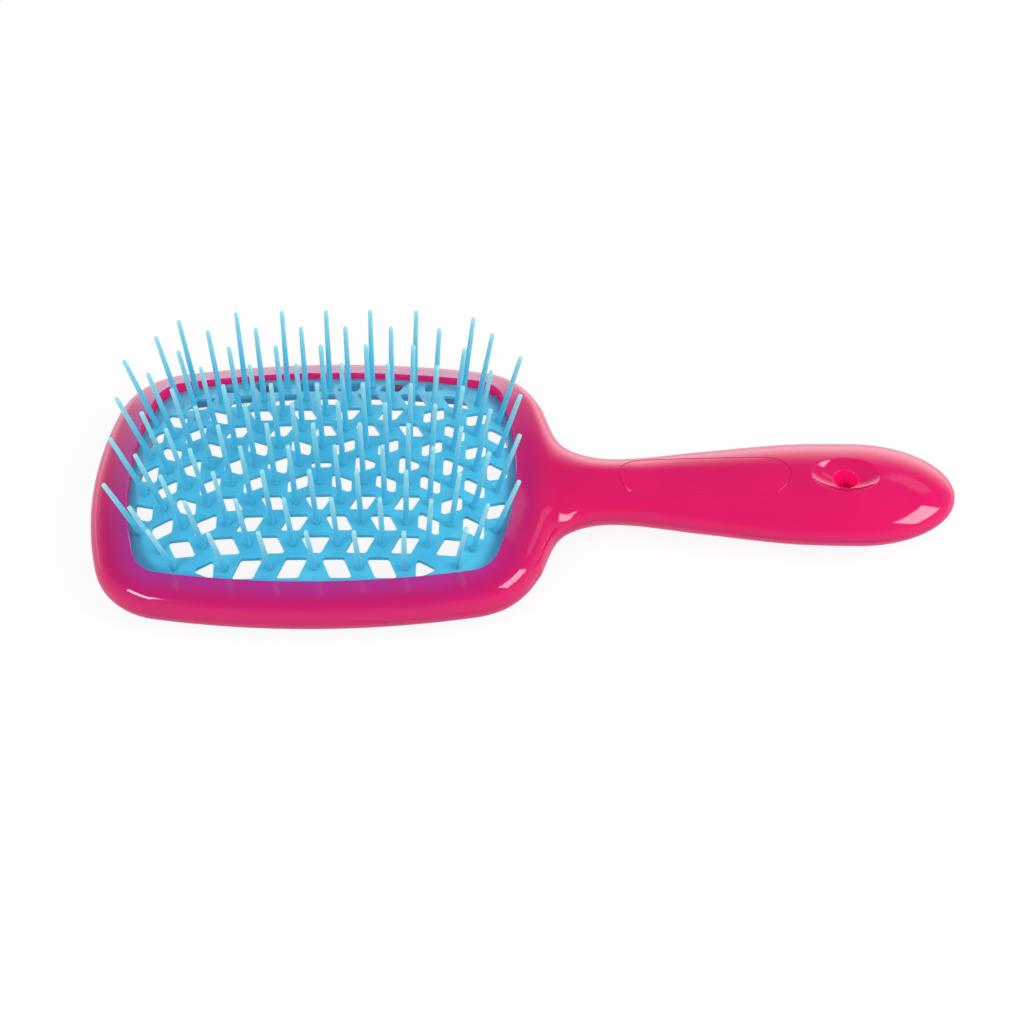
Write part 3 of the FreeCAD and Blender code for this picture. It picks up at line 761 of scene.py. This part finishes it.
def mesh_object(name, points, faces, painted_light):
    """A mesh object from points and faces, doubles merged, faces turned outwards and smoothed by angle."""
    mesh = bpy.data.meshes.new(name)
    mesh.from_pydata(points.tolist(), [], faces.tolist())
    # painted shade and glow for the pink finish, for each point
    layer = mesh.attributes.new("painted_shade_and_glow", "FLOAT", "POINT")
    layer.data.foreach_set("value", painted_light.astype(np.float32))
    work = bmesh.new()
    work.from_mesh(mesh)
    bmesh.ops.remove_doubles(work, verts=work.verts, dist=MERGE)
    bmesh.ops.dissolve_degenerate(work, edges=work.edges, dist=SLIVER)
    bmesh.ops.recalc_face_normals(work, faces=work.faces)
    work.to_mesh(mesh)
    work.free()
    mesh.shade_smooth()
    mesh.set_sharp_from_angle(angle=SHARP)
    return placed(name, mesh)


# Nodes

def fill(tree, node, inputs):
    """Links a node's inputs to sockets or sets them to plain values, by name or by place."""
    for label, value in inputs.items():
        if isinstance(value, bpy.types.NodeSocket):
            tree.links.new(value, node.inputs[label])
        else:
            node.inputs[label].default_value = value


def made(tree, kind, inputs=None, **options):
    """A new node with its options and inputs."""
    node = tree.nodes.new(kind)
    for label, option in options.items():
        setattr(node, label, option)
    fill(tree, node, inputs or {})
    return node


def combined(tree, kind, *values):
    """Result of a math node on sockets and numbers."""
    return made(tree, "ShaderNodeMath", dict(enumerate(values)), operation=kind).outputs[0]


def vector_of(tree, **parts):
    """A vector of those of X, Y and Z that are given."""
    return made(tree, "ShaderNodeCombineXYZ", parts).outputs[0]


def parts_of(tree, vector):
    """X, Y and Z of a vector."""
    return made(tree, "ShaderNodeSeparateXYZ", {0: vector}).outputs


def coordinate(tree, kind):
    return made(tree, "ShaderNodeTexCoord").outputs[kind]


def attribute(tree, name):
    return made(tree, "ShaderNodeAttribute", attribute_name=name).outputs["Fac"]


def noise(tree, scale, detail):
    """Noise on Object coordinates."""
    return made(tree, "ShaderNodeTexNoise", {"Vector": coordinate(tree, "Object"), "Scale": scale,
                                             "Detail": detail}).outputs["Fac"]


def ranged(tree, value, low, high, to_low, to_high):
    """A value eased from one range into another."""
    inputs = {"Value": value, "From Min": low, "From Max": high, "To Min": to_low, "To Max": to_high}
    return made(tree, "ShaderNodeMapRange", inputs, interpolation_type="SMOOTHSTEP").outputs["Result"]


def rgba(colour):
    return (*colour, 1)


def mix_colour(tree, factor, first, second):
    """A colour mix; first and second are colours or sockets."""
    ends = [end if isinstance(end, bpy.types.NodeSocket) else rgba(end) for end in (first, second)]
    return made(tree, "ShaderNodeMix", {"Factor": factor, 6: ends[0], 7: ends[1]}, data_type="RGBA").outputs[2]


def ripple(tree, scale, strength, distance):
    """Normal of a surface with a faint moulding ripple."""
    return made(tree, "ShaderNodeBump", {"Strength": strength, "Distance": distance,
                                         "Height": noise(tree, scale, 2)}).outputs["Normal"]


# Finishes

def finish_nodes(name):
    """A new material in place of an earlier one of its name, its tree and its shader."""
    earlier = bpy.data.materials.get(name)
    if earlier:
        bpy.data.materials.remove(earlier)
    material = bpy.data.materials.new(name)
    material.use_nodes = True
    return material, material.node_tree, material.node_tree.nodes["Principled BSDF"]


def polished_pink():
    """Glossy translucent pink, with painted shade in plum near the window's edge where the bed's skirt lies behind
    the rim, and a painted glow in its openings.

    Its attribute of painted shade and glow is 1 at the window's edge, 0 on plain pink, -0.8 on the window's wall and
    -1 in the bore.
    """
    finishes = settings().finishes
    material, tree, shader = finish_nodes("polished_pink")
    cloudy = ranged(tree, noise(tree, 45, 3), 0.35, 0.65, 0, 1)
    pink = mix_colour(tree, cloudy, finishes.pink, finishes.pink_deep)
    # painted shade: darker rim pink and plum graded in from the window's edge
    painted_shade_and_glow = attribute(tree, "painted_shade_and_glow")
    rim = mix_colour(tree, ranged(tree, painted_shade_and_glow, 0, 0.5, 0, 1), pink, finishes.rim_shade_pink)
    fill(tree, shader, {
        "Base Color": mix_colour(tree, ranged(tree, painted_shade_and_glow, 0.5, 1, 0, 1), rim, finishes.skirt_shade_plum),
        # painted glow on the window's wall and in the bore
        "Emission Color": rgba(finishes.pink),
        "Emission Strength": ranged(tree, painted_shade_and_glow, BORE_PAINTED_GLOW, 0, 0.45, 0),
        "Roughness": ranged(tree, noise(tree, 160, 4), 0.3, 0.7, 0.06, 0.1),
        "IOR": 1.55,
        "Subsurface Weight": 0.45,
        "Subsurface Radius": (1, 0.2, 0.4),
        "Subsurface Scale": 4 * MM,
        "Normal": ripple(tree, 90, 0.05, 0.5 * MM)})
    return material


def satin_turquoise(name, light, deep, reach):
    """Semi-gloss turquoise; a pin grows paler towards its thin tip."""
    material, tree, shader = finish_nodes(name)
    if reach:
        body = mix_colour(tree, ranged(tree, attribute(tree, "reach"), 0.15, 1, 0, 1), deep, light)
    else:
        body = mix_colour(tree, ranged(tree, noise(tree, 120, 3), 0.35, 0.65, 0, 1), light, deep)
    fill(tree, shader, {
        "Base Color": body,
        "Roughness": ranged(tree, noise(tree, 400, 4), 0.3, 0.7, 0.3, 0.42),
        "IOR": 1.49,
        "Subsurface Weight": 0.6,
        "Subsurface Radius": (0.35, 0.8, 1),
        "Subsurface Scale": 3 * MM,
        "Normal": ripple(tree, 500, 0.08, 0.2 * MM)})
    return material


# Pieces

def shell_object(name, front, material):
    """A shell with its finish."""
    piece = mesh_object(name, *shell_piece(name, front))
    piece.data.materials.append(material)
    return piece


class BRUSH_OT_front_shell(bpy.types.Operator):
    """Upper shell of the frame and handle, with the window, the eye's dish and the oval outline on the grip"""
    bl_idname = "detangler.front_shell"
    bl_label = "Front shell"

    def execute(self, context):
        piece = shell_object("front_shell_skin", True, polished_pink())
        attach(piece, "frame")
        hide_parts("front_shell")
        return {"FINISHED"}


class BRUSH_OT_back_shell(bpy.types.Operator):
    """Lower shell of the frame and handle, with the back of the window"""
    bl_idname = "detangler.back_shell"
    bl_label = "Back shell"

    def execute(self, context):
        piece = shell_object("back_shell_skin", False, bpy.data.materials["polished_pink"])
        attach(piece, "frame")
        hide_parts("back_shell")
        return {"FINISHED"}


def new_tree(name, distances, counts):
    """An empty node tree with named inputs, and its nodes for input and output."""
    tree = bpy.data.node_groups.new(name, "GeometryNodeTree")
    tree.interface.new_socket("Geometry", in_out="INPUT", socket_type="NodeSocketGeometry")
    for label in distances:
        socket = tree.interface.new_socket(label, in_out="INPUT", socket_type="NodeSocketFloat")
        socket.subtype = "DISTANCE"
    for label in counts:
        tree.interface.new_socket(label, in_out="INPUT", socket_type="NodeSocketInt")
    tree.interface.new_socket("Geometry", in_out="OUTPUT", socket_type="NodeSocketGeometry")
    return tree, tree.nodes.new("NodeGroupInput").outputs, tree.nodes.new("NodeGroupOutput").inputs


def stand_on_points(tree, given, shape, attribute_name, axis, material, result):
    """Ends a tree: the shape on each point along the point's own direction, made real and given its finish."""
    lean = made(tree, "GeometryNodeInputNamedAttribute", {"Name": attribute_name}, data_type="FLOAT_VECTOR")
    turn = made(tree, "FunctionNodeAlignRotationToVector", {"Vector": lean.outputs["Attribute"]}, axis=axis)
    stand = made(tree, "GeometryNodeInstanceOnPoints", {"Points": given["Geometry"], "Instance": shape,
                                                        "Rotation": turn.outputs["Rotation"]})
    real = made(tree, "GeometryNodeRealizeInstances", {"Geometry": stand.outputs["Instances"]})
    finish = made(tree, "GeometryNodeSetMaterial", {"Geometry": real.outputs["Geometry"], "Material": material})
    tree.links.new(finish.outputs["Geometry"], result["Geometry"])


def baked(name, tree, sizes, points, attribute_name, directions):
    """A plain mesh of a tree's shapes on points, each with its direction."""
    mesh = bpy.data.meshes.new(name + "_spots")
    mesh.from_pydata(points, [], [])
    layer = mesh.attributes.new(attribute_name, "FLOAT_VECTOR", "POINT")
    layer.data.foreach_set("vector", [part for direction in directions for part in direction])
    spots = placed(name + "_spots", mesh)
    modifier = spots.modifiers.new(tree.name, "NODES")
    modifier.node_group = tree
    sockets = {item.name: item.identifier for item in tree.interface.items_tree if item.in_out == "INPUT"}
    for label, value in sizes.items():
        modifier[sockets[label]] = value
    bpy.context.view_layer.update()
    evaluated = spots.evaluated_get(bpy.context.evaluated_depsgraph_get())
    result = bpy.data.meshes.new_from_object(evaluated)
    if not result.polygons:
        raise RuntimeError(f"{name}: nothing was made")
    bpy.data.objects.remove(spots)
    return result


def lug_tree(material):
    """Node tree that sets a tapered snap lug on each point, reaching along the point's direction."""
    tree, given, result = new_tree("Snap Lugs", ("Width", "Height", "Depth", "Sink", "Draft"), ())
    calc = partial(combined, tree)
    depth, sink = given["Depth"], given["Sink"]
    place = parts_of(tree, made(tree, "GeometryNodeInputPosition").outputs[0])
    draft = calc("MULTIPLY", calc("GREATER_THAN", place["Y"], 0), given["Draft"])

    def drawn_in(across):
        """Offset towards the lug's middle, on its end only."""
        return calc("MULTIPLY", calc("MULTIPLY", calc("SIGN", across), draft), -1)

    extent = vector_of(tree, X=given["Width"], Y=calc("ADD", depth, sink), Z=given["Height"])
    block = made(tree, "GeometryNodeMeshCube", {"Size": extent, "Vertices X": 3, "Vertices Z": 3})
    shift = calc("MULTIPLY", calc("SUBTRACT", depth, sink), 0.5)
    offset = vector_of(tree, X=drawn_in(place["X"]), Y=shift, Z=drawn_in(place["Z"]))
    lug = made(tree, "GeometryNodeSetPosition", {"Geometry": block.outputs["Mesh"], "Offset": offset})
    stand_on_points(tree, given, lug.outputs["Geometry"], "inward", "Y", material, result)
    return tree


class BRUSH_OT_snap_lugs(bpy.types.Operator):
    """Snap lugs inside the window, moulded on the upper shell, which hold the bed"""
    bl_idname = "detangler.snap_lugs"
    bl_label = "Snap lugs"

    def execute(self, context):
        head = settings().head
        spots = []
        directions = []
        for step in range(-head.lugs_each_side, head.lugs_each_side + 1):
            x = step * head.lug_pitch
            wall = head.window_half_width - head.window_side_bow + math.sqrt(head.window_side_bow ** 2 - x ** 2)
            for side in (-1, 1):
                spots.append((x, side * wall, head.lug_lift + head.lug_height / 2))
                directions.append((0, -side, 0))
        sizes = {"Width": head.lug_width, "Height": head.lug_height, "Depth": head.lug_depth, "Sink": head.lug_sink,
                 "Draft": head.lug_draft}
        tree = lug_tree(bpy.data.materials["polished_pink"])
        mesh = baked("snap_lugs", tree, sizes, spots, "inward", directions)
        mesh.transform(head_matrix())
        piece = placed("snap_lugs", mesh)
        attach(piece, "frame")
        return {"FINISHED"}


class BRUSH_OT_pin_bed(bpy.types.Operator):
    """Domed vented bed"""
    bl_idname = "detangler.pin_bed"
    bl_label = "Pin bed"

    def execute(self, context):
        finishes = settings().finishes
        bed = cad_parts["pin_bed"]
        material = satin_turquoise("satin_turquoise_bed", finishes.turquoise, finishes.turquoise_deep, False)
        for slot in bed.material_slots:
            slot.material = material
        return {"FINISHED"}


def bed_fall(x, y):
    """Fall of the bed's surface below its crown."""
    head, pins = settings().head, settings().pins
    along = (x / (pins.each_side * pins.pitch)) ** 2
    across = (y / (pins.rows_each_side * pins.row_pitch)) ** 2
    return (head.bow_along * along + head.roll_along * along ** 2
            + head.bow_across * across + head.roll_across * across ** 2)


def pin_lean(x, y):
    """Direction of a pin, in the head's own coordinates."""
    pins = settings().pins
    step = LEAN_STEP
    along = (bed_fall(x + step, y) - bed_fall(x - step, y)) / (2 * step)
    across = (bed_fall(x, y + step) - bed_fall(x, y - step)) / (2 * step)
    return Vector((along * pins.fan, across * pins.fan, 1)).normalized()


def pin_spots(row):
    """Places of a row's pins in the head's own coordinates."""
    pins = settings().pins
    reach = pins.each_side - (0.5 if row % 2 == 0 else 0)
    outermost = abs(row) == pins.rows_each_side
    if outermost:
        reach -= 1
    spots = []
    for step in range(int(2 * reach) + 1):
        column = step - reach
        x = column * pins.pitch
        y = row * pins.row_pitch
        if outermost and abs(column) == reach:
            x += math.copysign(pins.corner_out, column)
            y -= math.copysign(pins.corner_in, row)
        spots.append((x, y))
    return spots


def head_matrix():
    """From the head's own coordinates to the brush."""
    head, handle = settings().head, settings().handle
    neck_x = head.half_length + handle.neck_root
    return (Matrix.Translation((handle.neck_place, 0, handle.axis_height))
            @ Matrix.Rotation(-head.tilt, 4, "Y") @ Matrix.Translation((-neck_x, 0, 0)))


def pin_tree(material):
    """Node tree that stands a tapered pin with a round tip on each point, along its lean."""
    tree, given, result = new_tree("Pin Row", ("Length", "Root Radius", "Tip Radius", "Foot"), ("Rings", "Sides"))
    calc = partial(combined, tree)
    length, root, tip, foot = (given[label] for label in ("Length", "Root Radius", "Tip Radius", "Foot"))
    stem = made(tree, "GeometryNodeCurvePrimitiveLine", {"End": vector_of(tree, Z=length)})
    rings = made(tree, "GeometryNodeResampleCurve", {"Curve": stem.outputs["Curve"], "Count": given["Rings"]})
    factor = made(tree, "GeometryNodeSplineParameter").outputs["Factor"]
    share = calc("MULTIPLY_ADD", calc("COSINE", calc("MULTIPLY", factor, math.pi)), -0.5, 0.5)
    place = made(tree, "GeometryNodeSetPosition", {"Geometry": rings.outputs["Curve"],
                                                   "Position": vector_of(tree, Z=calc("MULTIPLY", share, length))})

    up = parts_of(tree, made(tree, "GeometryNodeInputPosition").outputs[0])["Z"]
    part = calc("DIVIDE", up, length)
    taper = calc("MULTIPLY_ADD", calc("SUBTRACT", tip, root), part, root)
    past = calc("MAXIMUM", calc("DIVIDE", calc("SUBTRACT", up, calc("SUBTRACT", length, tip)), tip), 0)
    cap = calc("SQRT", calc("MAXIMUM", calc("SUBTRACT", 1, calc("MULTIPLY", past, past)), 0))
    near = calc("MAXIMUM", calc("SUBTRACT", 1, calc("DIVIDE", up, calc("MULTIPLY", foot, FOOT_RISE))), 0)
    fillet = calc("MULTIPLY", calc("MULTIPLY", near, near), foot)
    circle = made(tree, "GeometryNodeCurvePrimitiveCircle", {"Radius": 1, "Resolution": given["Sides"]})
    tube = made(tree, "GeometryNodeCurveToMesh", {
        "Curve": place.outputs["Geometry"], "Profile Curve": circle.outputs["Curve"],
        "Scale": calc("ADD", calc("MULTIPLY", taper, cap), fillet), "Fill Caps": True})
    merged = made(tree, "GeometryNodeMergeByDistance", {"Geometry": tube.outputs["Mesh"], "Distance": MERGE})
    reach = made(tree, "GeometryNodeStoreNamedAttribute",
                 {"Geometry": merged.outputs["Geometry"], "Name": "reach", "Value": part},
                 data_type="FLOAT", domain="POINT")
    smooth = made(tree, "GeometryNodeSetShadeSmooth", {"Geometry": reach.outputs["Geometry"]})
    stand_on_points(tree, given, smooth.outputs["Geometry"], "lean", "Z", material, result)
    return tree


class BRUSH_OT_pin_rows(bpy.types.Operator):
    """Eleven rows of pins moulded on the bed"""
    bl_idname = "detangler.pin_rows"
    bl_label = "Pin rows"

    def execute(self, context):
        head, pins, finishes = settings().head, settings().pins, settings().finishes
        material = satin_turquoise("satin_turquoise_pins", finishes.pin_tip, finishes.pin_root, True)
        tree = pin_tree(material)
        sizes = {"Length": pins.length + pins.sink, "Root Radius": pins.root / 2, "Tip Radius": pins.tip / 2,
                 "Foot": pins.foot, "Rings": PIN_RINGS, "Sides": PIN_SIDES}
        to_brush = head_matrix()
        for row in range(-pins.rows_each_side, pins.rows_each_side + 1):
            node = f"pin_row_{row + pins.rows_each_side + 1:02d}"
            spots = pin_spots(row)
            leans = [pin_lean(x, y) for x, y in spots]
            feet = [Vector((x, y, head.crown - bed_fall(x, y))) - lean * pins.sink
                    for (x, y), lean in zip(spots, leans)]
            pinned = baked(node, tree, sizes, [to_brush @ foot for foot in feet], "lean",
                           [to_brush.to_3x3() @ lean for lean in leans])
            piece = placed(node + "_pins", pinned)
            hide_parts(node)
            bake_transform(piece)
        return {"FINISHED"}


# Studio

def heading(azimuth, elevation):
    """Direction from the brush to a place round it; azimuth counts from the near side towards the right."""
    return Vector((math.sin(azimuth) * math.cos(elevation), -math.cos(azimuth) * math.cos(elevation),
                   math.sin(elevation)))


def background_rays(tree):
    """Rays of the camera, rays in a gloss, and all that see the background, also through the plastic."""
    ray = made(tree, "ShaderNodeLightPath").outputs
    camera, gloss = ray["Is Camera Ray"], ray["Is Glossy Ray"]
    seen = combined(tree, "MAXIMUM", combined(tree, "MAXIMUM", camera, gloss), ray["Is Transmission Ray"])
    return camera, gloss, seen


def end_tree(tree, share, plain, shown, output):
    """Ends a tree in a plain shader, and another one for a share of the rays."""
    mix = made(tree, "ShaderNodeMixShader", {"Fac": share, 1: plain.outputs[0], 2: shown.outputs[0]})
    tree.links.new(mix.outputs[0], tree.nodes[output].inputs["Surface"])


def white_table(studio):
    """White for the table, which in reflections turns from the walls' light to the backdrop's."""
    material, tree, shader = finish_nodes("white_table")
    fill(tree, shader, {"Base Color": rgba((TABLE_WHITE,) * 3), "Roughness": 0.8, "Specular IOR Level": 0})
    _, gloss, rays = background_rays(tree)
    across = parts_of(tree, coordinate(tree, "Object"))["Y"]
    sweep = ranged(tree, across, *TABLE_SWEEP, studio.walls - 1, studio.backdrop - 1)
    strength = combined(tree, "ADD", 1, combined(tree, "MULTIPLY", gloss, sweep))
    shown = made(tree, "ShaderNodeEmission", {"Strength": strength})
    end_tree(tree, combined(tree, "MULTIPLY", rays, TABLE_GLOW), shader, shown, "Material Output")
    return material


def light_room(tree, studio):
    """Even light, and for reflections dim walls, a dark ceiling and a bright backdrop."""
    even = tree.nodes["Background"]
    fill(tree, even, {"Color": WHITE, "Strength": studio.sky})
    toward = parts_of(tree, coordinate(tree, "Generated"))
    walls = ranged(tree, toward["Z"], *WALL_TOP, studio.walls, studio.ceiling)
    behind = combined(tree, "MULTIPLY", ranged(tree, toward["Y"], *BACKDROP_SIDE, 0, studio.backdrop - studio.walls),
                      ranged(tree, toward["Z"], *BACKDROP_TOP, 1, 0))
    camera, _, rays = background_rays(tree)
    strength = combined(tree, "MAXIMUM", camera, combined(tree, "ADD", walls, behind))
    shown = made(tree, "ShaderNodeBackground", {"Color": WHITE, "Strength": strength})
    end_tree(tree, rays, even, shown, "World Output")


def softbox(name, azimuth, elevation, wide, high, brightness):
    """A lamp that the camera doesn't see, turned to the brush; angles in degrees."""
    lamp = bpy.data.lights.new(name, "AREA")
    lamp.shape = "RECTANGLE"
    lamp.size = wide
    lamp.size_y = high
    lamp.energy = brightness * math.pi * wide * high
    toward = heading(math.radians(azimuth), math.radians(elevation))
    stand = placed(name, lamp)
    stand.location = toward * LAMP_AWAY
    stand.rotation_euler = toward.to_track_quat("Z", "Y").to_euler()
    stand.visible_camera = False


def photo_camera(studio):
    """The photograph's camera."""
    back = heading(studio.azimuth, studio.elevation)
    right = Vector((math.cos(studio.azimuth), math.sin(studio.azimuth), 0))
    turn = Matrix((right, back.cross(right), back)).transposed() @ Matrix.Rotation(studio.roll, 3, "Z")
    lens = bpy.data.cameras.new("camera")
    lens.lens = studio.lens
    lens.sensor_width = SENSOR
    lens.clip_start = 10 * MM
    camera = placed("camera", lens)
    camera.matrix_world = Matrix.Translation(Vector(studio.aim) + back * studio.distance) @ turn.to_4x4()
    return camera


class BRUSH_OT_studio(bpy.types.Operator):
    """White table, soft lamps and the camera"""
    bl_idname = "detangler.studio"
    bl_label = "Studio"

    def execute(self, context):
        studio = settings().studio
        scene = context.scene
        scene.view_settings.view_transform = "Standard"
        table = bpy.data.meshes.new("table")
        corners = [(x * TABLE_HALF, y * TABLE_HALF, TABLE_LEVEL) for x, y in ((-1, -1), (1, -1), (1, 1), (-1, 1))]
        table.from_pydata(corners, [], [(0, 1, 2, 3)])
        table.materials.append(white_table(studio))
        floor = placed("table", table)

        scene.world = scene.world or bpy.data.worlds.new("studio")
        scene.world.use_nodes = True
        light_room(scene.world.node_tree, studio)

        softbox("left_softbox", -50, 30, 0.4, 0.12, studio.left)
        softbox("right_softbox", 74, 38, 0.48, 0.34, studio.right)
        softbox("back_softbox", 136, 41, 0.3, 0.14, studio.patch)
        scene.camera = photo_camera(studio)
        return {"FINISHED"}


class BrushSettings(bpy.types.PropertyGroup):
    """All sizes and colours of the brush."""
    head: bpy.props.PointerProperty(type=HeadSizes, name="Head", description="Window, rim and bed")
    handle: bpy.props.PointerProperty(type=HandleSizes, name="Handle", description="Handle and hanging eye")
    pins: bpy.props.PointerProperty(type=PinSizes, name="Pins", description="Rows of pins")
    finishes: bpy.props.PointerProperty(type=Finishes, name="Finishes", description="Colours of the mouldings")
    studio: bpy.props.PointerProperty(type=StudioSizes, name="Studio", description="Camera and lamps")


STEPS = (BRUSH_OT_front_shell, BRUSH_OT_back_shell, BRUSH_OT_snap_lugs, BRUSH_OT_pin_bed, BRUSH_OT_pin_rows,
         BRUSH_OT_studio)


class BRUSH_PT_sidebar(bpy.types.Panel):
    """Steps that dress the brush"""
    bl_idname = "BRUSH_PT_sidebar"
    bl_label = "Detangling Brush"
    bl_space_type = "VIEW_3D"
    bl_region_type = "UI"
    bl_category = "Brush"

    def draw(self, context):
        for step in STEPS:
            self.layout.operator(step.bl_idname)


CLASSES = (HeadSizes, HandleSizes, PinSizes, Finishes, StudioSizes, BrushSettings, *STEPS, BRUSH_PT_sidebar)


def register():
    for kind in CLASSES:
        bpy.utils.register_class(kind)
    bpy.types.Scene.brush_settings = bpy.props.PointerProperty(type=BrushSettings)


def unregister():
    del bpy.types.Scene.brush_settings
    for kind in reversed(CLASSES):
        bpy.utils.unregister_class(kind)


def main():
    register()
    bpy.ops.detangler.front_shell()
    bpy.ops.detangler.back_shell()
    bpy.ops.detangler.snap_lugs()
    bpy.ops.detangler.pin_bed()
    bpy.ops.detangler.pin_rows()
    bpy.ops.detangler.studio()


if __name__ == "__main__":
    main()
